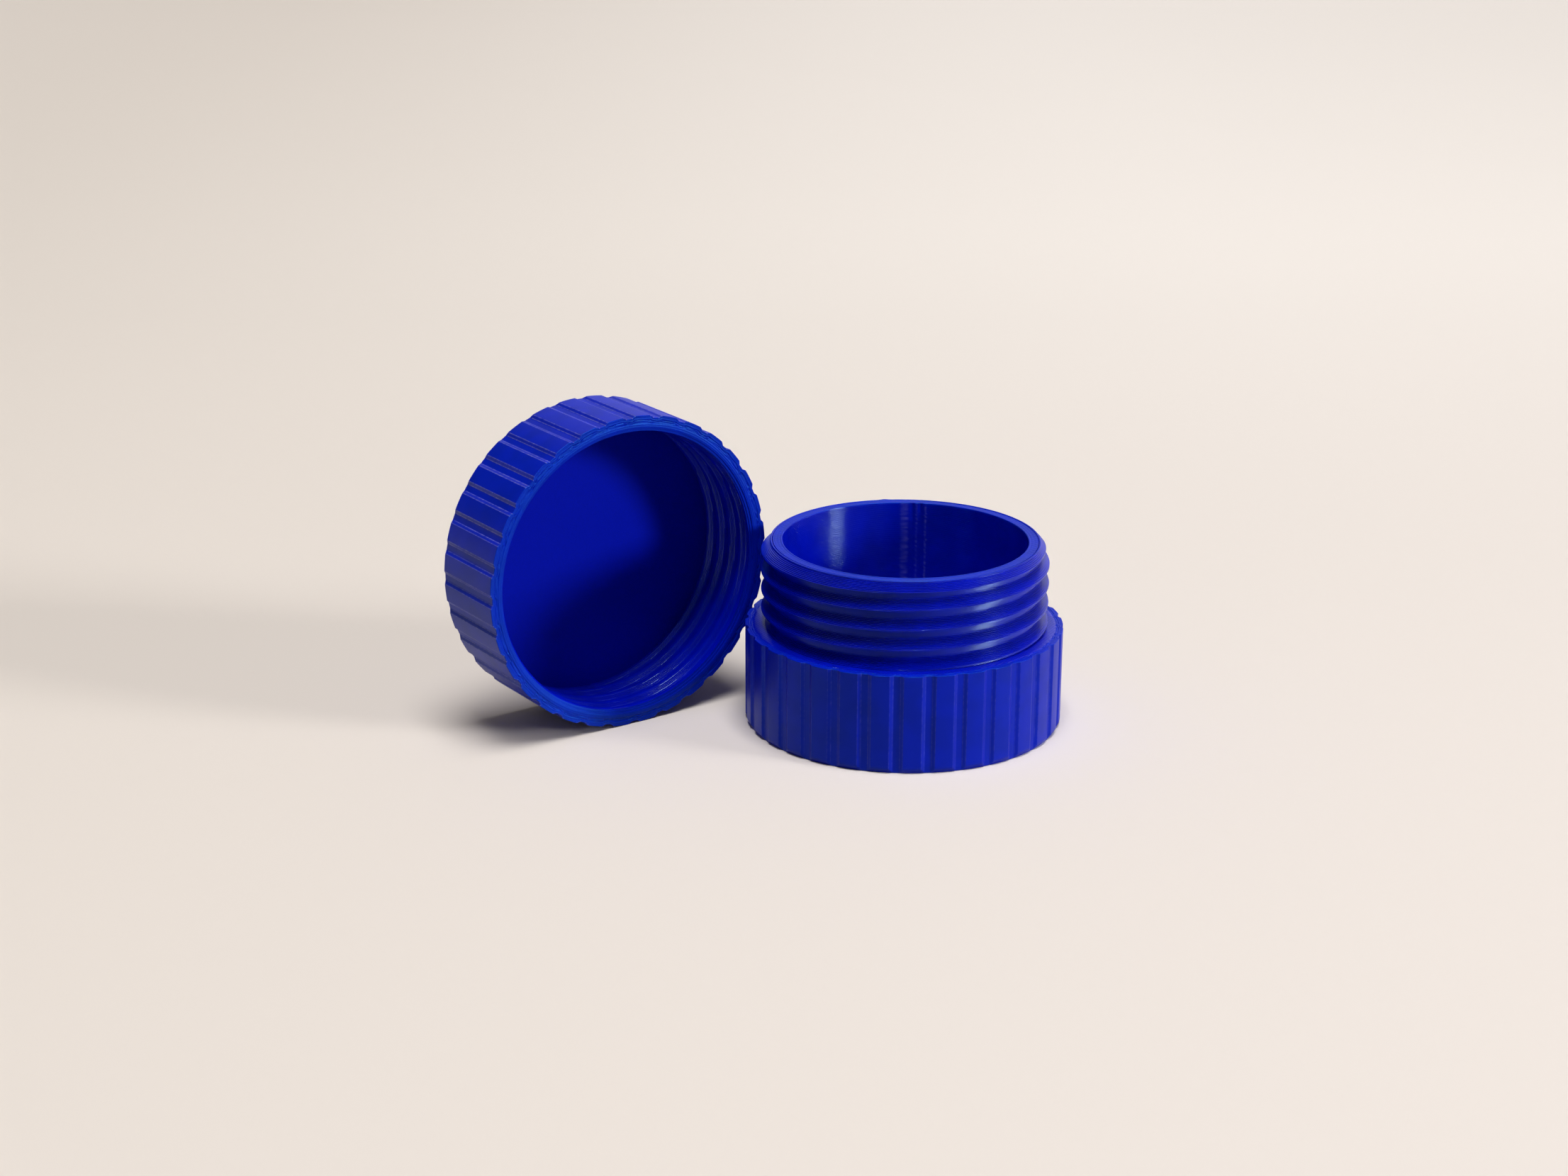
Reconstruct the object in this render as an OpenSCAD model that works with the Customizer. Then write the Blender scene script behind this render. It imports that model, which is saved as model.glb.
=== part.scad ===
// Screw-capped coin tube, printed in two pieces: a short round tube and its cap.
// The tube stands on its foot. The cap is off and stands on its ribbed side beside the tube.

/* [Tube] */
// Height of the ribbed base, up to the shoulder that the cap closes on
base_h = 16.9; // [8:0.1:60]
// Height of the threaded neck above the shoulder
neck_h = 14.7; // [11:0.1:30]
// Diameter of the bore that holds the stack of coins
bore_d = 41.4; // [20:0.1:60]
// Wall of the neck at the bottom of its thread
neck_wall = 2.05; // [1.6:0.05:2.4]
// Thickness of the floor under the stack
floor_t = 1.6; // [0.8:0.1:4]

/* [Cap] */
// Wall of the cap outside its thread, up to the lands of the grip
cap_wall = 2.35; // [1.4:0.05:5]
// Thickness of the cap's flat top
top_t = 1.6; // [0.9:0.1:4]
// Gap between the neck's rim and the cap's top when the cap is screwed down
rim_gap = 0.1; // [0.05:0.05:1]
// Length without thread next to the cap's top
thread_relief = 1.3; // [0.6:0.1:3]

/* [Thread] */
// Rise of the thread in one turn
thread_pitch = 3.36; // [2.8:0.02:3.6]
// Depth of the thread on the neck
thread_depth = 1.55; // [1.3:0.05:1.6]
// Width of the flat on the thread's crest
crest_w = 0.3; // [0.2:0.05:0.6]
// Width of the flat between two turns
valley_w = 0.3; // [0.3:0.05:0.6]
// Height of the plain rim above the thread
rim_land = 0.15; // [0.05:0.05:0.4]
// Height of the crest above the shoulder, on the tube's right
crest_start_h = 1; // [0.2:0.1:3]
// Free space between the neck's crests and the cap's wall
radial_clearance = 0.3; // [0.15:0.05:0.5]
// Free space between the flanks of the two threads
flank_clearance = 0.25; // [0.1:0.05:0.3]
// Depth to which the cap's thread reaches past the neck's crests
thread_overlap = 0.4; // [0.3:0.05:0.7]

/* [Grip] */
// Number of grooves around the grip
groove_count = 32; // [16:2:40]
// Width of a groove at the surface
groove_w = 2.3; // [1:0.1:2.6]
// Width of a groove's flat bottom
groove_floor_w = 0.4; // [0.2:0.05:0.6]
// Depth of a groove
groove_depth = 0.4; // [0.2:0.05:0.45]
// Turn of the tube's grooves against the line to its right
groove_turn = 6.5; // [0:0.5:22]
// Height of the bevel around the tube's foot and around the cap's top
bevel_h = 0.8; // [0.4:0.1:0.9]
// Width of that bevel, in which the grooves run out
bevel_w = 0.5; // [0.45:0.05:1]

/* [Resting place of the cap] */
// How far the tube's axis lies in front of the cap's mouth, as a share of the grip's radius
cap_behind_share = 0.835; // [0.6:0.005:0.88]
// Direction in which the mouth looks, turned from straight right towards the front
cap_turn = 55; // [40:1:80]
// Gap between the cap and the tube that it stands against
touch_gap = 0.15; // [0.1:0.05:1]

/* [Hidden] */
$fn = 96;
blue = [0.03, 0.1, 0.68];
cut = 0.5;
root_sink = 0.1;
steps_per_turn = 48;
bore_r = bore_d / 2;
total_h = base_h + neck_h;
root_r = bore_r + neck_wall;
crest_r = root_r + thread_depth;
flank_w = (thread_pitch - crest_w - valley_w) / 2;
flank_slope = flank_w / thread_depth;
cap_wall_r = crest_r + radial_clearance;
grip_r = cap_wall_r + cap_wall;
cap_behind = cap_behind_share * grip_r;
cap_crest_r = crest_r - thread_overlap;
mouth_r = cap_wall_r + radial_clearance;
cap_inside_h = neck_h + rim_gap;
cap_h = cap_inside_h + top_t;
cap_crest_w = thread_pitch - crest_w - 2 * (thread_overlap * flank_slope + flank_clearance);

// A cap on its side rests on the two edges of its lowest groove
cap_rest_h = sqrt(pow(grip_r, 2) - pow(groove_w / 2, 2));

// Half the width of the lying cap at a height above the ground
function half_width(z) = sqrt(pow(grip_r, 2) - pow(max(cap_rest_h - z, 0), 2));

// Sideways distance at which the cap's mouth just clears a round of this radius and height
function clear_distance(r, z) = half_width(z) + sqrt(max(pow(r + touch_gap, 2) - pow(cap_behind, 2), 0));
cap_beside = max(clear_distance(grip_r, base_h), clear_distance(crest_r, total_h));

// Cross-section of the neck's thread as radius and height, with its foot sunk into the neck
neck_foot_w = crest_w + 2 * flank_slope * (thread_depth + root_sink);
neck_profile = [
    [root_r - root_sink, -neck_foot_w / 2],
    [crest_r, -crest_w / 2],
    [crest_r, crest_w / 2],
    [root_r - root_sink, neck_foot_w / 2]
];

// Cross-section of the cap's thread, which lies in the neck's valleys
cap_foot_w = cap_crest_w + 2 * flank_slope * (cap_wall_r - cap_crest_r + root_sink);
cap_profile = [
    [cap_wall_r + root_sink, cap_foot_w / 2],
    [cap_crest_r, cap_crest_w / 2],
    [cap_crest_r, -cap_crest_w / 2],
    [cap_wall_r + root_sink, -cap_foot_w / 2]
];

// Right-handed ridge: the profile climbs from z_from to z_to and is at height z_at on the +X side
module helix(profile, z_from, z_to, z_at) {
    sides = len(profile);
    a_from = 360 * (z_from - z_at) / thread_pitch;
    a_to = 360 * (z_to - z_at) / thread_pitch;
    steps = ceil(steps_per_turn * (a_to - a_from) / 360);
    points = [
        for (i = [0:steps])
            let (a = a_from + (a_to - a_from) * i / steps)
                for (p = profile)
                    [p[0] * cos(a), p[0] * sin(a), p[1] + z_at + thread_pitch * a / 360]
    ];
    flanks = [
        for (i = [0:steps - 1])
            for (j = [0:sides - 1])
                let (k = (j + 1) % sides, m = i * sides)
                    each [
                        [m + j, m + k, m + sides + k],
                        [m + j, m + sides + k, m + sides + j]
                    ]
    ];
    first_end = [for (j = [0:sides - 1]) sides - 1 - j];
    last_end = [for (j = [0:sides - 1]) steps * sides + j];
    polyhedron(points, concat(flanks, [first_end, last_end]), convexity = 10);
}

// One groove of the grip, open to the outside
module groove() {
    slope = (groove_w - groove_floor_w) / 2 / groove_depth;
    polygon([
        [grip_r - groove_depth, -groove_floor_w / 2],
        [grip_r + cut, -groove_w / 2 - slope * cut],
        [grip_r + cut, groove_w / 2 + slope * cut],
        [grip_r - groove_depth, groove_floor_w / 2]
    ]);
}

// Ribbed round of height h, bevelled around its lower end
module grip(h, turn) {
    intersection() {
        linear_extrude(h)
            difference() {
                circle(grip_r);
                for (i = [0:groove_count - 1])
                    rotate(turn + 360 * i / groove_count)
                        groove();
            }
        rotate_extrude()
            polygon([
                [0, 0],
                [grip_r - bevel_w, 0],
                [grip_r, bevel_h],
                [grip_r + cut, bevel_h],
                [grip_r + cut, h],
                [0, h]
            ]);
    }
}

// Neck with its thread, narrowed below the rim so that the cap finds its way on
module neck() {
    translate([0, 0, base_h - cut])
        cylinder(r = root_r, h = neck_h + cut);
    intersection() {
        helix(neck_profile, base_h - thread_pitch / 2, total_h + thread_pitch / 2,
            base_h + crest_start_h);
        rotate_extrude()
            polygon([
                [root_r - cut, base_h - cut],
                [crest_r + cut, base_h - cut],
                [crest_r + cut, total_h - rim_land - thread_depth - cut],
                [root_r - cut, total_h - rim_land + cut]
            ]);
    }
}

module tube() {
    color(blue)
        difference() {
            union() {
                grip(base_h, groove_turn);
                neck();
            }
            translate([0, 0, floor_t])
                cylinder(r = bore_r, h = total_h);
        }
}

// Thread inside the cap, ending short of the top
module cap_thread() {
    intersection() {
        helix(cap_profile, -thread_pitch / 2, cap_inside_h + thread_pitch / 2,
            crest_start_h + thread_pitch / 2);
        translate([0, 0, -cut / 2])
            cylinder(r = cap_wall_r + cut, h = cap_inside_h - thread_relief + cut / 2);
    }
}

// Cap as it sits on the shoulder, with its mouth at height 0 and bevelled there
module upright_cap() {
    bevel_reach = mouth_r - cap_crest_r + cut;
    difference() {
        union() {
            difference() {
                translate([0, 0, cap_h])
                    mirror([0, 0, 1])
                        grip(cap_h, 180);
                translate([0, 0, -cut])
                    cylinder(r = cap_wall_r, h = cap_inside_h + cut);
            }
            cap_thread();
        }
        translate([0, 0, -cut])
            cylinder(r1 = mouth_r + cut, r2 = mouth_r - bevel_reach, h = cut + bevel_reach);
    }
}

module cap() {
    color(blue)
        rotate([0, 0, -cap_turn])
            translate([-cap_behind, -cap_beside, cap_rest_h])
                rotate([0, -90, 0])
                    upright_cap();
}

tube();
cap();
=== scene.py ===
import bmesh
import bpy
import math
from mathutils import Matrix, Vector, noise


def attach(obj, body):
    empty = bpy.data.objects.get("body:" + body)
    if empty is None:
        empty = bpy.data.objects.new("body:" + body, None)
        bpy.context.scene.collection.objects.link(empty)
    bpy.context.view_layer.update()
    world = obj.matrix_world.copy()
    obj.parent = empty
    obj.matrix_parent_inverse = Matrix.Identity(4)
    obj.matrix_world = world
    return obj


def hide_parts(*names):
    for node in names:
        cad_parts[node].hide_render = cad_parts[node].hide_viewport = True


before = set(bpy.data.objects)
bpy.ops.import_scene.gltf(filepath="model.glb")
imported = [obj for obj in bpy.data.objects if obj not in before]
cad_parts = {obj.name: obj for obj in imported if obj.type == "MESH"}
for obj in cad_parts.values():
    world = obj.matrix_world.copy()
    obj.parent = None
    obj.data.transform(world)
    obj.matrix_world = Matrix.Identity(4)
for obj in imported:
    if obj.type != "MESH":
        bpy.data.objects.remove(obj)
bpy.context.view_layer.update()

mm = 0.001

# sizes in mm, the same as in the part's source
coinTube = {
    "baseHeight": 16.9,
    "totalHeight": 31.6,
    "boreRadius": 20.7,
    "rootRadius": 22.75,
    "crestRadius": 24.3,
    "gripRadius": 26.95,
    "floorThickness": 1.6,
    "rimLand": 0.15,
    "crestStart": 1.0,
    "pitch": 3.36,
    "crestWidth": 0.3,
    "flankSlope": 0.8903,      # mm of height per mm of thread depth
    "capHeight": 16.4,
    "capInside": 14.8,
    "capWallRadius": 24.6,
    "capCrestRadius": 23.9,
    "capThreadEnd": 13.5,
    "mouthRadius": 24.9,
    "layer": 0.2,              # what the printer laid down in one pass
    "layerStops": (0.0, 0.3, 0.7),   # a layer's crease and its round side, as shares of it
}

# the tube stands on its foot, and the cap on its ribbed side against the tube
tubePlace = Matrix.Identity(4)
capPlace = (
    Matrix.Rotation(math.radians(-55), 4, "Z")
    @ Matrix.Translation((-22.503, -40.116, 26.925))
    @ Matrix.Rotation(math.radians(-90), 4, "Y")
)

# the grooves of both grips and the bevel that they run out in, in mm
ribbing = {
    "count": 32,
    "floorHalf": 0.5,
    "topHalf": 1.15,
    "depth": 0.4,
    "rounding": 0.04,
    "lip": 0.035,              # the nozzle leaves a thicker corner beside each groove
    "lipAt": 1.24,
    "lipWidth": 0.09,
    "lipPerMm": 1.3,           # how fast it swells and thins along the rib
    "lipRagged": 0.5,
    "paintedGlintAt": (1.12, 0.6),     # a groove's side gets a painted highlight at its two corners
    "paintedGlintWidth": 0.075,
    "paintedGlintSide": 0.12,          # and less between them
    "paintedGlintPerMm": 2.3,
    "ragged": 0.9,             # how much that comes and goes along the rib
    "perRadian": 40,           # makes each rib different from the next
    "corner": 0.06,            # width of the corner between the wall and an end face
    "bevelHeight": 0.8,
    "bevelWidth": 0.5,
    "bevelStep": 0.1,
    "fadeWidth": 1.4,          # the grooves run out over this width of an end face
    "inBox": 0.004,            # keeps the lands just inside the part's own box
    "endRings": (0, 10, 20, 24.5, 26.2),   # radii of the rings of points on a closed end
    # mm from a groove's middle to that of the rib beside it, closer where the corners are
    "stops": [0, 0.25, 0.45, 0.52, 0.6, 0.68, 0.85, 1.04, 1.12, 1.2, 1.28, 1.4, 1.9, 2.646],
}


def clamp(value, low, high):
    return max(low, min(high, value))


def span(start, end, step):
    # even stops from start to end, both included
    count = max(1, round(abs(end - start) / step))
    return [start + (end - start) * i / count for i in range(count + 1)]


def lathe(profile, steps, closed=False):
    # spins a half section of (radius, height) points a part of the way round Z,
    # then doubles the result until it is whole, which is far quicker than one full spin
    doublings = 4
    turn = math.tau / 2 ** doublings
    bm = bmesh.new()
    verts = [bm.verts.new((round(r, 3), 0, round(z, 3))) for r, z in profile]
    edges = [bm.edges.new(pair) for pair in zip(verts, verts[1:])]
    if closed:
        edges.append(bm.edges.new((verts[-1], verts[0])))
    bmesh.ops.spin(bm, geom=verts + edges, cent=(0, 0, 0), axis=(0, 0, 1), dvec=(0, 0, 0),
                   angle=turn, steps=steps // 2 ** doublings, use_merge=False,
                   use_duplicate=False)
    for doubling in range(doublings):
        copy = bmesh.ops.duplicate(bm, geom=bm.verts[:] + bm.edges[:] + bm.faces[:])["geom"]
        moved = [part for part in copy if isinstance(part, bmesh.types.BMVert)]
        bmesh.ops.rotate(bm, cent=(0, 0, 0), verts=moved,
                         matrix=Matrix.Rotation(turn * 2 ** doubling, 3, "Z"))
    bmesh.ops.remove_doubles(bm, verts=bm.verts, dist=0.0008)
    bmesh.ops.recalc_face_normals(bm, faces=bm.faces)
    bm.verts.layers.float.new("paintedGlint")    # how much painted highlight a corner gets
    return bm


def polar(vert):
    # radius, angle in radians and height
    return math.hypot(vert.co.x, vert.co.y), math.atan2(vert.co.y, vert.co.x), vert.co.z


def place(vert, r, angle, z):
    vert.co = (r * math.cos(angle), r * math.sin(angle), z)


def cornerPaintedGlint(s, angle, z):
    # painted highlight on a groove's side, 0 to 1 or so, at s mm from its middle
    outer, inner = ribbing["paintedGlintAt"]
    pale = ribbing["paintedGlintSide"] if inner < abs(s) < outer else 0
    for line, at in enumerate(ribbing["paintedGlintAt"]):
        here = Vector((angle * ribbing["perRadian"], z * ribbing["paintedGlintPerMm"], line * 9))
        frayed = 1 + ribbing["ragged"] * noise.noise(here)
        pale = max(pale, frayed * math.exp(-((abs(s) - at) / ribbing["paintedGlintWidth"]) ** 2))
    return pale


def grooveDepth(s, angle, z):
    # depth of the nearest groove at s mm from its middle
    def plain(s):
        slope = (ribbing["topHalf"] - abs(s)) / (ribbing["topHalf"] - ribbing["floorHalf"])
        return ribbing["depth"] * clamp(slope, 0, 1)
    r = ribbing["rounding"]
    smooth = (plain(s - r) + 2 * plain(s) + plain(s + r)) / 4
    here = Vector((angle * ribbing["perRadian"], z * ribbing["lipPerMm"], 3))
    ragged = 1 + ribbing["lipRagged"] * noise.noise(here)
    lip = ragged * math.exp(-((abs(s) - ribbing["lipAt"]) / ribbing["lipWidth"]) ** 2)
    return smooth - ribbing["lip"] * lip


def ribSteps():
    return ribbing["count"] * 2 * (len(ribbing["stops"]) - 1)


def ribAngle(angle):
    # moves an even step of the lathe to the stop that belongs to it, as (angle, s)
    pitch = math.tau / ribbing["count"]
    perRib = ribSteps() // ribbing["count"]
    rib, step = divmod(round(angle / pitch * perRib), perRib)
    half = perRib // 2
    s = ribbing["stops"][step] if step <= half else -ribbing["stops"][perRib - step]
    middle = rib if step <= half else rib + 1
    return middle * pitch + s * pitch / 2 / ribbing["stops"][-1], s


def bevelRadius(z, width):
    # radius of the bevel round the end that lies at height 0
    rise = clamp(z / ribbing["bevelHeight"], 0, 1)
    return coinTube["gripRadius"] - width * (1 - rise)


# the lines of plastic that end a ribbed wall, in mm
endLines = {
    "creaseHalf": 0.09,
    "chainAt": 1.1,            # how far in the chain of lumps lies
    "chainWidth": 0.3,
    "bendPerMm": 0.8,          # how fast the lines bend, swell and break into lumps
    "unevenPerMm": 1.2,
    "lumpPerMm": (1.7, 2.5),   # along the lines and across them
    "outsideChain": 0.15,      # share of the lumps that lies beside the chain
    "startWidth": 0.2,         # the lines set in over this width from the edge
}


def lineRelief(inward, angle, radius, look):
    # depth below the end face: creases between the outer lines of plastic, which follow
    # the ribs, then a chain of short lumps up to the round inner lines
    x, y = math.cos(angle) * radius, math.sin(angle) * radius
    bend, swell = endLines["bendPerMm"], endLines["unevenPerMm"]
    along, across = endLines["lumpPerMm"]
    bent = inward + look["bend"] * noise.noise(Vector((x * bend, y * bend, 5)))
    uneven = 0.6 + 0.6 * noise.noise(Vector((x * swell, y * swell, 9)))
    depth = 0
    for at, deep in look["creases"]:
        depth = max(depth, deep * uneven * clamp(1 - abs(bent - at) / endLines["creaseHalf"], 0, 1))
    chain = math.exp(-((bent - endLines["chainAt"]) / endLines["chainWidth"]) ** 2)
    lump = 0.5 + noise.noise(Vector((x * along, y * along, inward * across)))
    beside = endLines["outsideChain"]
    return depth + look["lump"] * clamp(lump, 0, 1) * (beside + (1 - beside) * chain)


def layerHeights(start, low, high):
    # where a wall of layers that starts at one height gets its rings of points
    layer = coinTube["layer"]
    heights = [start + layer * (k + share) for k in range(int((high - start) / layer) + 2)
               for share in coinTube["layerStops"]]
    return [z for z in heights if low < z < high]


def layerShift(index, angle, seed):
    # slow wander of one layer along its way, different for each layer
    waves, apart = 1.6, 5.13
    at = Vector((math.cos(angle) * waves, math.sin(angle) * waves, index * apart + seed))
    return noise.noise(at)


def finishPiece(bm, name, body, node, where, materials, choose, sharp=35):
    # writes the mesh in metres, with one material slot per kind of printed surface
    for face in bm.faces:
        face.smooth = True
        face.material_index = choose(face.calc_center_median())
    bmesh.ops.transform(bm, matrix=Matrix.Scale(mm, 4) @ where, verts=bm.verts)
    mesh = bpy.data.meshes.new(name)
    bm.to_mesh(mesh)
    bm.free()
    mesh.set_sharp_from_angle(angle=math.radians(sharp))
    for material in materials:
        mesh.materials.append(material)
    piece = bpy.data.objects.new(name, mesh)
    bpy.context.scene.collection.objects.link(piece)
    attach(piece, body)
    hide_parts(node)
    print(name, "has", sum(len(p.vertices) - 2 for p in mesh.polygons), "triangles")


def linear(code):
    # sRGB hex to the linear values that the sockets want
    parts = [int(code[i:i + 2], 16) / 255 for i in (1, 3, 5)]
    return [p / 12.92 if p <= 0.04045 else ((p + 0.055) / 1.055) ** 2.4 for p in parts] + [1]


def addNode(tree, kind, links=None, **settings):
    # an input gets a value, a socket, or a node, which stands for its first output
    node = tree.nodes.new("ShaderNode" + kind)
    for name, value in settings.items():
        setattr(node, name, value)
    for socket, value in (links or {}).items():
        if isinstance(value, bpy.types.Node):
            value = value.outputs[0]
        if isinstance(value, bpy.types.NodeSocket):
            tree.links.new(value, node.inputs[socket])
        else:
            node.inputs[socket].default_value = value
    return node


def fade(tree, value, low, high, first, last):
    # goes softly from one colour to another as a value goes from low to high
    share = addNode(tree, "MapRange", {"Value": value, "From Min": low, "From Max": high},
                    interpolation_type="SMOOTHSTEP")
    first, last = [linear(colour) if isinstance(colour, str) else colour
                   for colour in (first, last)]
    mix = addNode(tree, "Mix", {"Factor": share, 6: first, 7: last}, data_type="RGBA")
    return mix.outputs[2]      # a Mix node has its colours at 6, 7 and 2


def ownFrame(tree, where):
    # object coordinates seen from the piece's own axis, in mm
    return addNode(tree, "Mapping", {
        "Vector": addNode(tree, "TexCoord").outputs["Object"],
        "Location": Vector(where.translation) * mm,
        "Rotation": where.to_euler(),
        "Scale": (mm, mm, mm),
    }, vector_type="TEXTURE")


# for each kind of surface its roughness, then heights in mm: the round of a bead, its
# wander, lumps and grit; level and gleam are the strength and tint of its gloss
printed = {
    "wall": {"roughness": 0.42, "bead": 0.004, "wander": 0.001, "lumps": 0.0, "grit": 0.002,
             "level": 0.4, "gleam": (0.3, 0.8, 1.0, 1.0)},
    "thread": {"roughness": 0.27, "bead": 0.0, "wander": 0.006, "lumps": 0.0, "grit": 0.002},
    "liner": {"roughness": 0.20, "bead": 0.0, "wander": 0.002, "lumps": 0.0, "grit": 0.001},
    "bore": {"roughness": 0.15, "bead": 0.019, "wander": 0.012, "lumps": 0.0, "grit": 0.001},
    "top": {"roughness": 0.28, "bead": 0.035, "wander": 0.020, "lumps": 0.010, "grit": 0.004},
    "ring": {"roughness": 0.50, "bead": 0.0, "wander": 0.0, "lumps": 0.035, "grit": 0.004,
             "level": 0.6, "gleam": (0.1, 0.8, 1.0, 1.0)},
    "bed": {"roughness": 0.42, "bead": 0.012, "wander": 0.010, "lumps": 0.0, "grit": 0.006},
    "floor": {"roughness": 0.50, "bead": 0.001, "wander": 0.002, "lumps": 0.0, "grit": 0.012,
              "level": 0.08},
    "layered": ("wall", "thread", "liner", "bore"),   # the others are lines on a flat face
    "colour": "#0012C0",
    "deepColour": "#0010B2",
    "paintedGlintColour": "#8C8CDC",   # painted highlight: the pale glint of the lamps on corners and seams
    "paintedGlintShare": 0.75,
    "level": 0.5,
    "gleam": (0.6, 0.9, 1.0, 1.0),   # a mirror image in the blue skin loses its red
    "ior": 1.46,
    "beadPower": 2.5,          # higher makes a bead flatter and its crease narrower
    "wanderPerMm": 0.22,       # along a bead
    "wanderPerBead": 1.3,      # so that each bead has a way of its own
    "lumpsPerMm": 2.2,
    "gritPerMm": 7.0,
    "tintPerMm": 0.25,
    "tintRange": (0.3, 0.7),
}


def printedPlastic(name, kind, where, lines=0.4, lineTurn=45):
    # PLA laid down as 0.2 mm layers: a deep even blue with a satin skin that
    # breaks every highlight into fine lines along the layers; on a flat face the lines
    # have a width in mm and a turn in degrees
    look = printed[kind]
    material = bpy.data.materials.new(name)
    material.use_nodes = True
    tree = material.node_tree
    tree.nodes.clear()
    own = ownFrame(tree, where)
    x, y, z = addNode(tree, "SeparateXYZ", {"Vector": own}).outputs

    # how many beads lie before this point
    if kind in printed["layered"]:
        beads = addNode(tree, "Math", {0: z, 1: coinTube["layer"]}, operation="DIVIDE")
    else:
        turned = addNode(tree, "VectorRotate", {"Vector": own, "Angle": math.radians(lineTurn)},
                         rotation_type="Z_AXIS")
        across = addNode(tree, "SeparateXYZ", {"Vector": turned})
        beads = addNode(tree, "Math", {0: across, 1: lines}, operation="DIVIDE")

    # one bead: round on top, with a narrow crease to the next
    within = addNode(tree, "Math", {0: beads}, operation="FRACT")
    sided = addNode(tree, "Math", {0: within, 1: 2, 2: -1}, operation="MULTIPLY_ADD")
    fromMiddle = addNode(tree, "Math", {0: sided}, operation="ABSOLUTE")
    crease = addNode(tree, "Math", {0: fromMiddle, 1: printed["beadPower"]}, operation="POWER")
    bead = addNode(tree, "Math", {0: 1, 1: crease}, operation="SUBTRACT")

    # each bead wanders a little by itself along its way
    scaled = [addNode(tree, "Math", {0: part, 1: scale}, operation="MULTIPLY")
              for part, scale in ((x, printed["wanderPerMm"]), (y, printed["wanderPerMm"]),
                                  (beads, printed["wanderPerBead"]))]
    way = addNode(tree, "CombineXYZ", dict(zip("XYZ", scaled)))
    wander = addNode(tree, "TexNoise", {
        "Vector": way, "Scale": 1.0, "Detail": 1.0, "Roughness": 0.5}).outputs["Fac"]
    lumps = addNode(tree, "TexNoise", {
        "Vector": own, "Scale": printed["lumpsPerMm"], "Detail": 2.0, "Roughness": 0.5,
        "Distortion": 0.8}).outputs["Fac"]
    grit = addNode(tree, "TexNoise", {
        "Vector": own, "Scale": printed["gritPerMm"], "Detail": 2.0,
        "Roughness": 0.6}).outputs["Fac"]
    height = addNode(tree, "Math", {0: bead, 1: look["bead"]}, operation="MULTIPLY")
    for pattern, high in ((wander, look["wander"]), (lumps, look["lumps"]), (grit, look["grit"])):
        height = addNode(tree, "Math", {0: pattern, 1: high, 2: height}, operation="MULTIPLY_ADD")
    bump = addNode(tree, "Bump", {"Height": height, "Distance": mm, "Strength": 1.0})

    # the colour is a touch deeper where less plastic was laid down
    slow = addNode(tree, "TexNoise", {
        "Vector": own, "Scale": printed["tintPerMm"], "Detail": 1.0,
        "Roughness": 0.5}).outputs["Fac"]
    mottle = grit if kind == "floor" else slow
    tint = fade(tree, mottle, *printed["tintRange"], printed["deepColour"], printed["colour"])
    # painted highlight: corners and seams are mixed towards a pale lavender where the lamps glint
    # on them
    paintedGlint = addNode(tree, "Attribute", attribute_name="paintedGlint").outputs["Fac"]
    paintedGlintMix = addNode(tree, "Math", {0: paintedGlint, 1: printed["paintedGlintShare"]}, operation="MULTIPLY")
    tint = fade(tree, paintedGlintMix, 0, 1, tint, printed["paintedGlintColour"])
    shader = addNode(tree, "BsdfPrincipled", {
        "Base Color": tint,
        "Roughness": look["roughness"],
        "IOR": printed["ior"],
        "Specular IOR Level": look.get("level", printed["level"]),
        "Specular Tint": look.get("gleam", printed["gleam"]),
        "Normal": bump,
    })
    addNode(tree, "OutputMaterial", {"Surface": shader})
    return material


tubeWall = printedPlastic("printedPlaWallTube", "wall", tubePlace)
tubeThreadSkin = printedPlastic("printedPlaThreadTube", "thread", tubePlace)
tubeBoreSkin = printedPlastic("printedPlaBoreTube", "bore", tubePlace)
tubeTop = printedPlastic("printedPlaTopTube", "top", tubePlace, 0.4, 45)
tubeRing = printedPlastic("printedPlaRingTube", "ring", tubePlace)
tubeBed = printedPlastic("printedPlaBedTube", "bed", tubePlace, 0.45, 45)
capWall = printedPlastic("printedPlaWallCap", "wall", capPlace)
capThreadSkin = printedPlastic("printedPlaThreadCap", "liner", capPlace)
capRing = printedPlastic("printedPlaRingCap", "ring", capPlace)
capBed = printedPlastic("printedPlaBedCap", "bed", capPlace, 0.45, -45)
capFloorSkin = printedPlastic("printedPlaFloorCap", "floor", capPlace, 0.4, 45)
print("materials made")

# the tube's ribbed base, a shell up to the neck
tubeBaseLook = {
    "turn": 6.5,               # degrees from the right to the first groove
    "ringStep": 0.32,
    "linesEnd": 1.3,           # the lines that follow the ribs are this wide
    "lineStep": 0.08,
    "roundLines": 25.5,        # radius of the first line that runs round
    "roundStep": 0.3,
    "shoulderInner": 22.2,
    "hiddenRadius": 21.5,      # inside the neck, where nothing shows
    "hiddenFloor": 1.4,
    "ringInner": 25.7,
    "creases": [(0.45, 0.06), (0.85, 0.12)],   # mm in from the edge, mm deep
    "lump": 0.12,
    "bend": 0.1,
    # strength of the painted highlight on the groove corners
    "pale": 0.25,
    "paintedGlintRise": 0.9,           # the painted highlight on the corners grows by this per mm up from the foot
}


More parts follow.
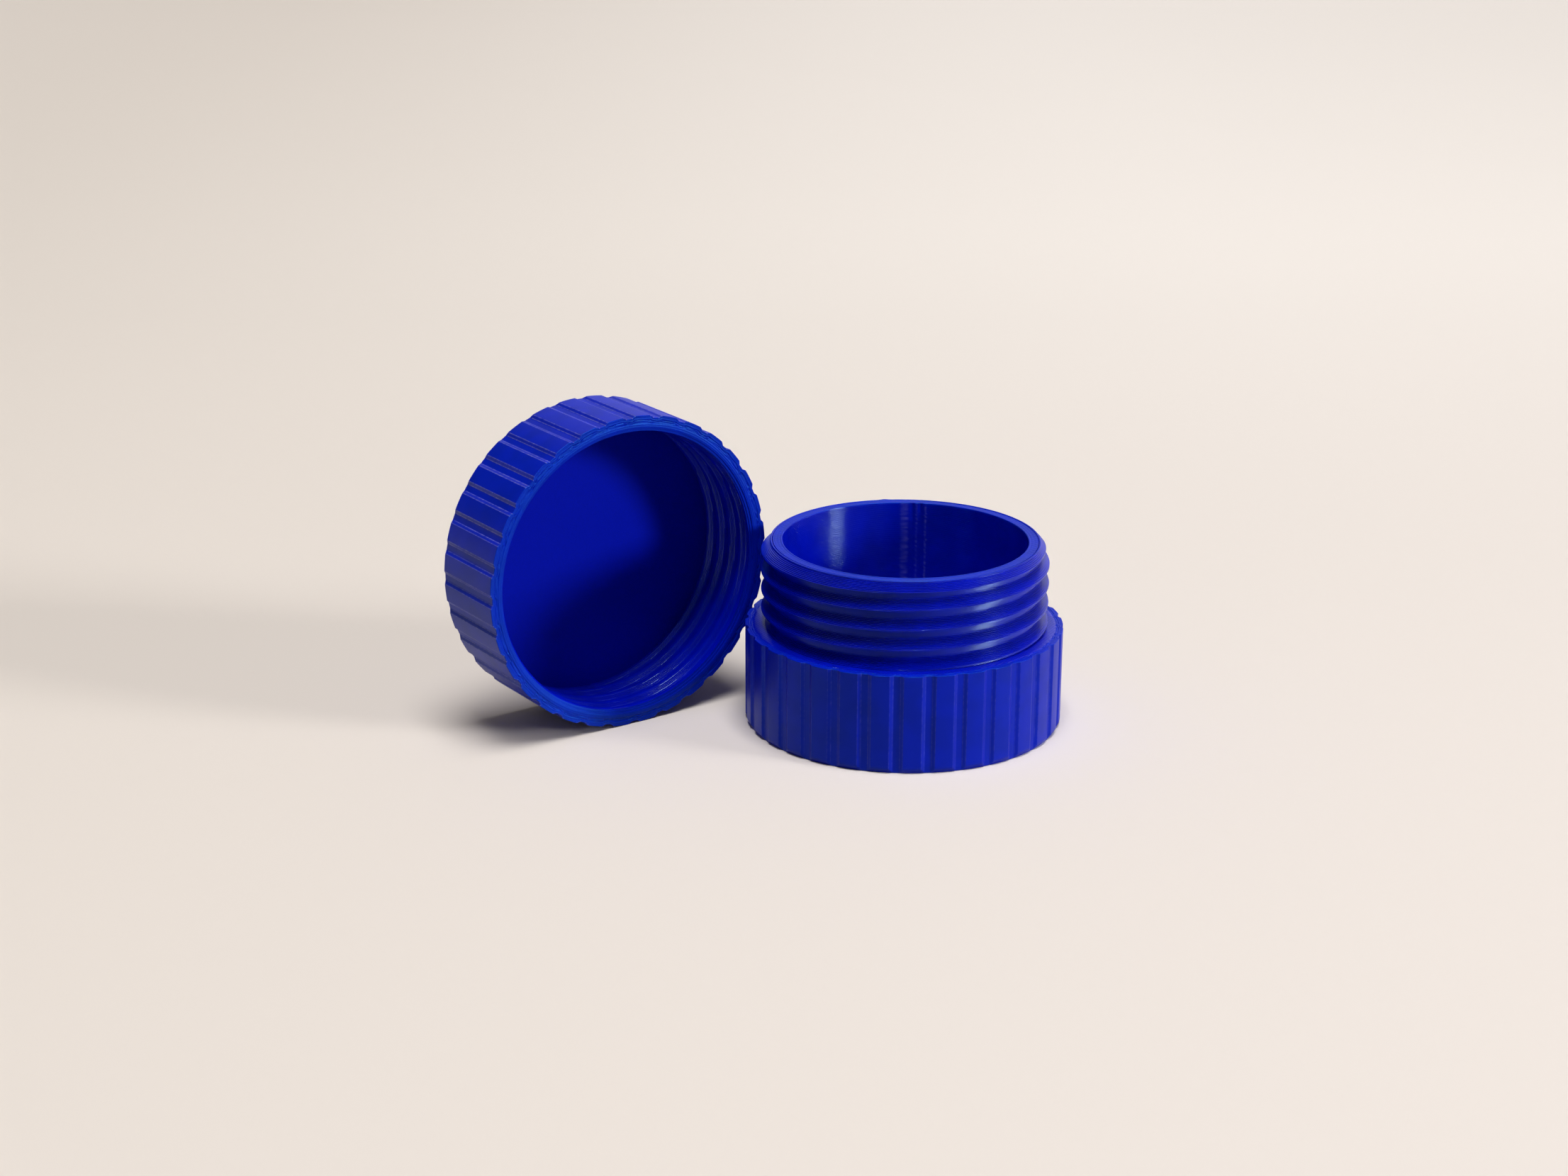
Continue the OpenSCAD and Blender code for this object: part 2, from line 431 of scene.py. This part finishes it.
def makeTubeBase():
    grip, height = coinTube["gripRadius"], coinTube["baseHeight"]
    look, corner, bevel = tubeBaseLook, ribbing["corner"], ribbing["bevelHeight"]
    profile = [(r, 0) for r in ribbing["endRings"]]
    profile += [(grip, z) for z in span(0.0, bevel, ribbing["bevelStep"])]
    profile += [(grip, z) for z in span(bevel, height - 2 * corner, look["ringStep"])[1:]]
    profile += [(grip, height - corner), (grip - corner, height)]
    profile += [(r, height) for r in span(grip - 0.14, grip - look["linesEnd"], look["lineStep"])]
    profile += [(r, height)
                for r in span(look["roundLines"], look["shoulderInner"], look["roundStep"])]
    profile += [(look["hiddenRadius"], height - 0.4),
                (look["hiddenRadius"], look["hiddenFloor"]), (0, look["hiddenFloor"])]
    bm = lathe(profile, ribSteps())
    paintedGlint = bm.verts.layers.float["paintedGlint"]
    turn = math.radians(look["turn"])
    for vert in bm.verts:
        r, angle, z = polar(vert)
        if r < 0.001:
            continue
        angle, s = ribAngle(angle)
        inward = grip - r
        if z < bevel + 0.01 and inward < 0.05:
            r = min(grip - grooveDepth(s, angle, z), bevelRadius(z, ribbing["bevelWidth"]))
            # painted highlight on the groove corners, weaker down the bevel towards the foot
            rise = clamp(z * look["paintedGlintRise"], 0, 1)
            vert[paintedGlint] = look["pale"] * cornerPaintedGlint(s, angle, z) * rise
        elif inward < 0.15:
            r = r - grooveDepth(s, angle, z)
            # painted highlight on the groove corners
            vert[paintedGlint] = look["pale"] * cornerPaintedGlint(s, angle, z)
        elif z > height - 0.01 and inward < ribbing["fadeWidth"]:
            r -= grooveDepth(s, angle, z) * clamp(1 - inward / ribbing["fadeWidth"], 0, 1)
            z -= lineRelief(inward, angle, r, look) * clamp(inward / endLines["startWidth"], 0, 1)
        place(vert, min(r, grip - ribbing["inBox"]), angle + turn, min(z, height))

    def choose(at):
        if at.z < 0.001:
            return 2
        if at.z < height - 0.2:
            return 0
        return 3 if math.hypot(at.x, at.y) > look["ringInner"] else 1
    finishPiece(bm, "tubeBase", "tube", "tube", tubePlace,
                [tubeWall, tubeTop, tubeBed, tubeRing], choose)


makeTubeBase()

# the tube's thread, with every layer of the print standing out
threadLook = {
    "steps": 416,
    "bead": 0.055,             # how far a layer's round side stands out
    "shift": 0.014,            # how far whole layers lie off
    "rounding": [(-0.16, 0.25), (0, 0.5), (0.16, 0.25)],   # mm up, and share of the profile there
    "sunk": 0.4,               # starts this far below the shoulder, where nothing shows
    # the hidden inside and the rim up to its edge: radius, and height from the top
    "rim": [(22.2, -0.5), (22.42, -0.2), (22.44, -0.05), (22.5, 0), (22.64, 0), (22.71, -0.02)],
    "seamAngle": 97,           # where the last layers start and end, and leave a bump
    "seamHalf": 2,
    "seamOut": 0.35,
    "seamHeight": 0.9,
    "seamRise": 0.6,
}


def ridge(distance, halfCrest, depth, slope):
    # height of a thread's ridge at a distance from its middle
    return clamp(depth - (abs(distance) - halfCrest) / slope, 0, depth)


def neckRadius(angle, z):
    # the neck's radius at an angle in radians, rounded as the nozzle does it
    root, crest = coinTube["rootRadius"], coinTube["crestRadius"]
    total = 0
    for shift, weight in threadLook["rounding"]:
        turns = (z + shift - coinTube["baseHeight"] - coinTube["crestStart"]) / coinTube["pitch"]
        turns -= angle / math.tau
        away = (turns - round(turns)) * coinTube["pitch"]
        total += weight * ridge(away, coinTube["crestWidth"] / 2, crest - root,
                                coinTube["flankSlope"])
    cone = crest + coinTube["totalHeight"] - coinTube["rimLand"] - (crest - root) - z
    return min(root + total, max(cone, root))


def makeTubeThread():
    top, start = coinTube["totalHeight"], coinTube["baseHeight"]
    layer, look, root = coinTube["layer"], threadLook, coinTube["rootRadius"]
    profile = [(look["rim"][0][0], start - look["sunk"])]
    profile += [(r, top + z) for r, z in look["rim"]]
    outer = [start - look["sunk"]] + layerHeights(start, start - 0.01, top - 0.03)
    profile += [(root, z) for z in reversed(outer)]
    bm = lathe(profile, look["steps"], True)
    for vert in bm.verts:
        r, angle, z = polar(vert)
        if r < root - 0.01:
            continue
        index = math.floor((z - start) / layer + 0.001)
        share = (z - start) / layer - index
        middle = start + layer * (index + 0.5)
        here = neckRadius(angle, min(middle, top - 0.05))    # the last layer is a half one
        if share < 0.05:       # the crease below a layer
            r = min(here, neckRadius(angle, middle - layer)) - look["bead"]
        else:
            r = here + look["shift"] * layerShift(index, angle, 0)
        seam = (math.degrees(angle) - look["seamAngle"]) / look["seamHalf"]
        swell = clamp((z - (top - look["seamHeight"])) / look["seamRise"], 0, 1)
        r += look["seamOut"] * math.exp(-seam ** 2) * swell
        place(vert, r, angle, z)

    def choose(at):
        return 1 if at.z > top - 0.015 else 0
    finishPiece(bm, "tubeThread", "tube", "tube", tubePlace, [tubeThreadSkin, tubeRing],
                choose, 60)


makeTubeThread()

# the tube's bore, its floor and the inner part of the rim
boreLook = {
    "steps": 576,
    "ringStep": 0.3,
    "floorRings": (0, 6, 12, 18, 20.5),
    "rimOuter": 22.26,
    # down into the gap behind the rim: radius, and height from the top
    "behindRim": [(22.32, -0.05), (22.34, -0.2), (22.4, -0.35)],
    "hiddenFloor": 1.2,
    "wobble": 0.02,            # the bore isn't quite round
    "wobbleRate": 7,
    "wobbleRise": 0.004,       # and hardly changes upwards
    "stroke": 0.05,           # depth of the short strokes of infill across the rim
    "strokeRows": (21.35, 21.95),
    "strokeHalf": 0.3,
    "strokesPerDegree": 1.25,
    # where each layer starts and ends: angle, half width in degrees, height in mm, and the strength
    # of its painted highlight
    "seams": [(88, 2.2, 0.02, 0.34), (84.1, 0.6, -0.12, 0), (82, 0.7, 0.06, 0.28),
              (79.9, 0.6, -0.12, 0), (77.7, 0.7, 0.06, 0.36)],
    "seamJitter": 0.7,         # degrees
    "jitterPerMm": 2.7,
    "frayPerMm": 3.1,
    "frayPerRadian": 9,
}


def makeTubeBore():
    top, bore, floor = coinTube["totalHeight"], coinTube["boreRadius"], coinTube["floorThickness"]
    look = boreLook
    profile = [(r, floor) for r in look["floorRings"]]
    profile += [(bore, z) for z in span(floor, top - 0.08, look["ringStep"])]
    profile += [(bore + 0.04, top - 0.02), (bore + 0.1, top)]
    profile += [(r, top) for r in span(bore + 0.18, look["rimOuter"], 0.08)]
    profile += [(r, top + z) for r, z in look["behindRim"]]
    profile += [(look["behindRim"][-1][0], look["hiddenFloor"]), (0, look["hiddenFloor"])]
    bm = lathe(profile, look["steps"])
    paintedGlint = bm.verts.layers.float["paintedGlint"]
    for vert in bm.verts:
        r, angle, z = polar(vert)
        if abs(r - bore) < 0.002:
            around = Vector((math.cos(angle), math.sin(angle), z * look["wobbleRise"]))
            r += look["wobble"] * noise.noise(around * look["wobbleRate"])
            jitter = look["seamJitter"] * noise.noise(Vector((z * look["jitterPerMm"], 3.1, 0)))
            frayed = 0.75 + noise.noise(
                Vector((angle * look["frayPerRadian"], z * look["frayPerMm"], 8)))
            for middle, half, lift, pale in look["seams"]:
                away = (math.degrees(angle) - middle - jitter) / half
                r -= lift * math.exp(-away * away)
                # painted highlight: the lamp's streak along the seams
                vert[paintedGlint] += pale * frayed * math.exp(-away ** 4)
        elif z > top - 0.001 and bore + 0.3 < r < look["rimOuter"] - 0.04:
            inner, outer = [clamp(1 - abs(r - row) / look["strokeHalf"], 0, 1)
                            for row in look["strokeRows"]]
            between = sum(look["strokeRows"]) / 2
            way = math.degrees(angle) * look["strokesPerDegree"] + (0.5 if r > between else 0)
            stroke = abs(way % 1 - 0.5) * 2
            z -= 0.01 + look["stroke"] * (1 - max(inner, outer) * stroke)
        place(vert, r, angle, z)

    def choose(at):
        if at.z > top - 0.1:
            return 1
        return 2 if math.hypot(at.x, at.y) < bore - 0.1 else 0
    finishPiece(bm, "tubeBore", "tube", "tube", tubePlace, [tubeBoreSkin, tubeRing, tubeBed],
                choose, 40)


makeTubeBore()

# the cap's ribbed shell with its closed end, made with its mouth at height 0
capShellLook = {
    "turn": 180,
    "ringStep": 0.32,
    "lineStep": 0.07,
    "innerRing": 25.5,
    "mouth": [(25.46, 0.02), (25.42, 0.08), (25.35, 0.3)],   # radius and height
    "floorRings": (25.35, 18, 12, 6, 0),   # the first is hidden by the thread's own piece
    "creases": [(0.45, 0.05), (0.85, 0.13), (1.36, 0.09)],
    "lump": 0.15,
    "bend": 0.12,
    # strength of the painted highlight on the groove corners
    "pale": 0.65,
    "bevelWidth": 0.8,
}


def makeCapShell():
    grip, height, inside = coinTube["gripRadius"], coinTube["capHeight"], coinTube["capInside"]
    look, corner, bevel = capShellLook, ribbing["corner"], ribbing["bevelHeight"]
    profile = [(r, height) for r in ribbing["endRings"]]
    profile += [(grip, height - z) for z in span(0.0, bevel, ribbing["bevelStep"])]
    profile += [(grip, height - z)
                for z in span(bevel, height - 2 * corner, look["ringStep"])[1:]]
    profile += [(grip, corner), (grip - corner, 0)]
    profile += [(r, 0) for r in span(grip - 0.14, look["innerRing"], look["lineStep"])]
    profile += look["mouth"] + [(r, inside) for r in look["floorRings"]]
    bm = lathe(profile, ribSteps())
    paintedGlint = bm.verts.layers.float["paintedGlint"]
    turn = math.radians(look["turn"])
    for vert in bm.verts:
        r, angle, z = polar(vert)
        if r < 0.001:
            continue
        angle, s = ribAngle(angle)
        inward = grip - r
        if z > height - bevel - 0.01 and inward < 0.05:
            r = min(grip - grooveDepth(s, angle, z), bevelRadius(height - z, look["bevelWidth"]))
        elif inward < 0.15:
            r = r - grooveDepth(s, angle, z)
            # painted highlight on the groove corners
            vert[paintedGlint] = look["pale"] * cornerPaintedGlint(s, angle, z)
        elif z < 0.001:
            r -= grooveDepth(s, angle, z) * clamp(1 - inward / ribbing["fadeWidth"], 0, 1)
            z += lineRelief(inward, angle, r, look) * clamp(inward / endLines["startWidth"], 0, 1)
        place(vert, min(r, grip - ribbing["inBox"]), angle + turn, max(z, 0))

    def choose(at):
        if at.z > height - 0.001:
            return 2
        if at.z > inside - 0.01 and math.hypot(at.x, at.y) < 25:
            return 3
        return 1 if at.z < 0.15 else 0
    finishPiece(bm, "capShell", "cap", "cap", capPlace,
                [capWall, capRing, capBed, capFloorSkin], choose)


makeCapShell()

# the cap's inner wall with its thread, and the bevel of the mouth
capThreadLook = {
    "steps": 416,
    "bead": 0.004,
    "shift": 0.002,
    "band": 0.003,             # every third layer stands back
    "fullness": 0.8,           # lower makes the ridge fuller
    "mouthSlope": 2,
    "shinyEnd": 0.5,
    "hiddenEnd": 0.1,          # reaches this far into the cap's floor
    # the outside, which the shell hides, and the mouth's end face: radius and height
    "mouth": [(25.6, 0.2), (25.52, 0.06), (25.46, 0.01), (25.4, 0), (25.28, 0), (25.21, 0.025),
              (25.14, 0), (25.0, 0), (24.93, 0.02)],
}


def capRadius(angle, z):
    # the free radius inside the cap: a soft ridge, as wide as the valley of the neck
    turns = (z - coinTube["crestStart"]) / coinTube["pitch"] - 0.5 - angle / math.tau
    rise = 0.5 + 0.5 * math.cos(math.tau * turns) if z <= coinTube["capThreadEnd"] else 0
    depth = coinTube["capWallRadius"] - coinTube["capCrestRadius"]
    return max(coinTube["capWallRadius"] - depth * rise ** capThreadLook["fullness"],
               coinTube["mouthRadius"] - capThreadLook["mouthSlope"] * z)


def makeCapThread():
    inside, layer, wall = coinTube["capInside"], coinTube["layer"], coinTube["capWallRadius"]
    look = capThreadLook
    end = inside + look["hiddenEnd"]
    profile = [(look["mouth"][0][0], end)] + look["mouth"]
    profile += [(wall, z) for z in layerHeights(0, 0.05, inside + 0.05) + [end]]
    bm = lathe(profile, look["steps"], True)
    for vert in bm.verts:
        r, angle, z = polar(vert)
        if abs(r - wall) > 0.002:
            continue
        index = math.floor(z / layer + 0.001)
        share = z / layer - index
        middle = layer * (index + 0.5)
        here = capRadius(angle, middle)
        if share < 0.05:       # the crease below a layer
            r = max(here, capRadius(angle, middle - layer)) + look["bead"]
        else:
            r = here + look["shift"] * layerShift(index, angle, 40)
        r += look["band"] if index % 3 == 0 else 0
        place(vert, r, angle, z)

    def choose(at):
        return 1 if at.z < look["shinyEnd"] else 0
    finishPiece(bm, "capThread", "cap", "cap", capPlace, [capThreadSkin, capRing],
                choose, 60)


makeCapThread()
print("pieces made")

# floor, room and lamps, in metres
stageLook = {
    "floorSize": 9.0,
    "floorColour": "#F1E8E1",
    # painted shade: the floor is made darker to the left
    "paintedShadeLeft": "#E8DED4",
    "paintedShadeLeftX": (-0.35, 0.15),
    # painted light: the far floor is made paler
    "paintedLightFar": "#FFF7F0",
    "paintedLightFarY": (0.05, 0.45),
    "farLift": 0.14,           # keeps the far floor pale where the lamps fall off
    "farLiftY": (0.3, 1.1),
    "floorBounce": "#A69D94",  # what the floor throws back onto the walls
    "roomStrength": 0.14,
    "roomColour": "#EAE2DA",
    "seenRight": "#FFF6F2",    # what the camera and gloss see of the room, from its pale
    "seenBright": "#B4BCCE",   # right side to its dim left side
    "seenDim": "#0A6678",
    "seenAlong": (0.93, 0.37, 0),
    "dimToBright": (-0.17, 0.08),
    "brightToRight": (0.25, 0.7),
    "topPower": 140.0,
    "topSize": 1.9,
    "topPlace": (0.2, -0.7, 4.2),
    "keyPower": 2.7,
    "keySpread": 50,           # degrees, so that the floor under the lamp stays plain
    "keySize": 0.65,
    "keyDistance": 2.4,
    "keyAzimuth": -20,
    "keyHeight": 16,
    "aim": (0, 0, 0.015),
}


def addLamp(name, shape, size, power, where, spread=180):
    lamp = bpy.data.lights.new(name, "AREA")
    lamp.shape = shape
    lamp.size = size
    lamp.energy = power
    lamp.spread = math.radians(spread)
    holder = bpy.data.objects.new(name, lamp)
    bpy.context.scene.collection.objects.link(holder)
    holder.location = where
    away = Vector(where) - Vector(stageLook["aim"])
    holder.rotation_euler = away.to_track_quat("Z", "Y").to_euler()


def seenRay(tree):
    # 1 where the camera sees a thing, or sees it in gloss or through glass
    ray = addNode(tree, "LightPath").outputs
    bent = addNode(tree, "Math", {0: ray["Is Glossy Ray"], 1: ray["Is Transmission Ray"]},
                   operation="MAXIMUM")
    return addNode(tree, "Math", {0: ray["Is Camera Ray"], 1: bent}, operation="MAXIMUM")


def makeFloor():
    look = stageLook
    bm = bmesh.new()
    bmesh.ops.create_grid(bm, x_segments=2, y_segments=2, size=look["floorSize"] / 2)
    mesh = bpy.data.meshes.new("paleFloor")
    bm.to_mesh(mesh)
    bm.free()
    floor = bpy.data.objects.new("paleFloor", mesh)
    bpy.context.scene.collection.objects.link(floor)

    # matte card, pale to the camera, in gloss and through glass, that throws less light
    # back onto the object
    material = bpy.data.materials.new("matteCardFloor")
    material.use_nodes = True
    tree = material.node_tree
    tree.nodes.clear()
    x, y = addNode(tree, "SeparateXYZ", {
        "Vector": addNode(tree, "TexCoord").outputs["Object"]}).outputs[:2]
    # painted light and shade on the floor: paler far back and darker to the left
    pale = fade(tree, y, *look["paintedLightFarY"], look["floorColour"], look["paintedLightFar"])
    pale = fade(tree, x, *look["paintedShadeLeftX"], look["paintedShadeLeft"], pale)
    shown = seenRay(tree)
    near, far = look["farLiftY"]
    lift = addNode(tree, "MapRange", {
        "Value": y, "From Min": near, "From Max": far, "To Max": look["farLift"]})
    shader = addNode(tree, "BsdfPrincipled", {
        "Base Color": fade(tree, shown, 0, 1, look["floorBounce"], pale),
        "Roughness": 0.9,
        "Specular IOR Level": 0.1,
        "Emission Color": pale,
        "Emission Strength": addNode(tree, "Math", {0: shown, 1: lift}, operation="MULTIPLY"),
    })
    addNode(tree, "OutputMaterial", {"Surface": shader})
    mesh.materials.append(material)


def makeRoom():
    # a pale room behind and to the right, and a dim one to the left and in front
    look = stageLook
    world = bpy.data.worlds.new("softRoom")
    bpy.context.scene.world = world
    world.use_nodes = True
    tree = world.node_tree
    tree.nodes.clear()
    towards = addNode(tree, "VectorMath", {
        0: addNode(tree, "TexCoord").outputs["Generated"], 1: look["seenAlong"],
    }, operation="DOT_PRODUCT").outputs["Value"]
    seen = fade(tree, towards, *look["dimToBright"], look["seenDim"], look["seenBright"])
    seen = fade(tree, towards, *look["brightToRight"], seen, look["seenRight"])
    shown = seenRay(tree)
    strength = addNode(tree, "MapRange", {
        "Value": shown, "To Min": look["roomStrength"], "To Max": 1.0})
    light = addNode(tree, "Background", {
        "Color": fade(tree, shown, 0, 1, look["roomColour"], seen), "Strength": strength})
    addNode(tree, "OutputWorld", {"Surface": light})

    addLamp("topLight", "SQUARE", look["topSize"], look["topPower"], look["topPlace"])
    azimuth, height = math.radians(look["keyAzimuth"]), math.radians(look["keyHeight"])
    away = Vector((math.cos(azimuth) * math.cos(height), math.sin(azimuth) * math.cos(height),
                   math.sin(height)))
    addLamp("keyLight", "DISK", look["keySize"], look["keyPower"],
            away * look["keyDistance"] + Vector(look["aim"]), look["keySpread"])


# the photograph's view
photoView = {
    "place": (-20.385, -431.315, 169.699),   # mm
    "lens": 61.84,
    "down": 0.328311,          # radians below level
    "roll": 0.0025,
}


def makeCamera():
    camera = bpy.data.cameras.new("photoCamera")
    camera.sensor_width = 36
    camera.lens = photoView["lens"]
    camera.clip_start = 0.02
    camera.clip_end = 30
    viewer = bpy.data.objects.new("photoCamera", camera)
    bpy.context.scene.collection.objects.link(viewer)
    viewer.matrix_world = (Matrix.Translation(Vector(photoView["place"]) * mm)
                           @ Matrix.Rotation(math.pi / 2 - photoView["down"], 4, "X")
                           @ Matrix.Rotation(photoView["roll"], 4, "Z"))
    bpy.context.scene.camera = viewer


makeFloor()
makeRoom()
makeCamera()
bpy.context.scene.view_settings.view_transform = "Standard"

print("scene ready")
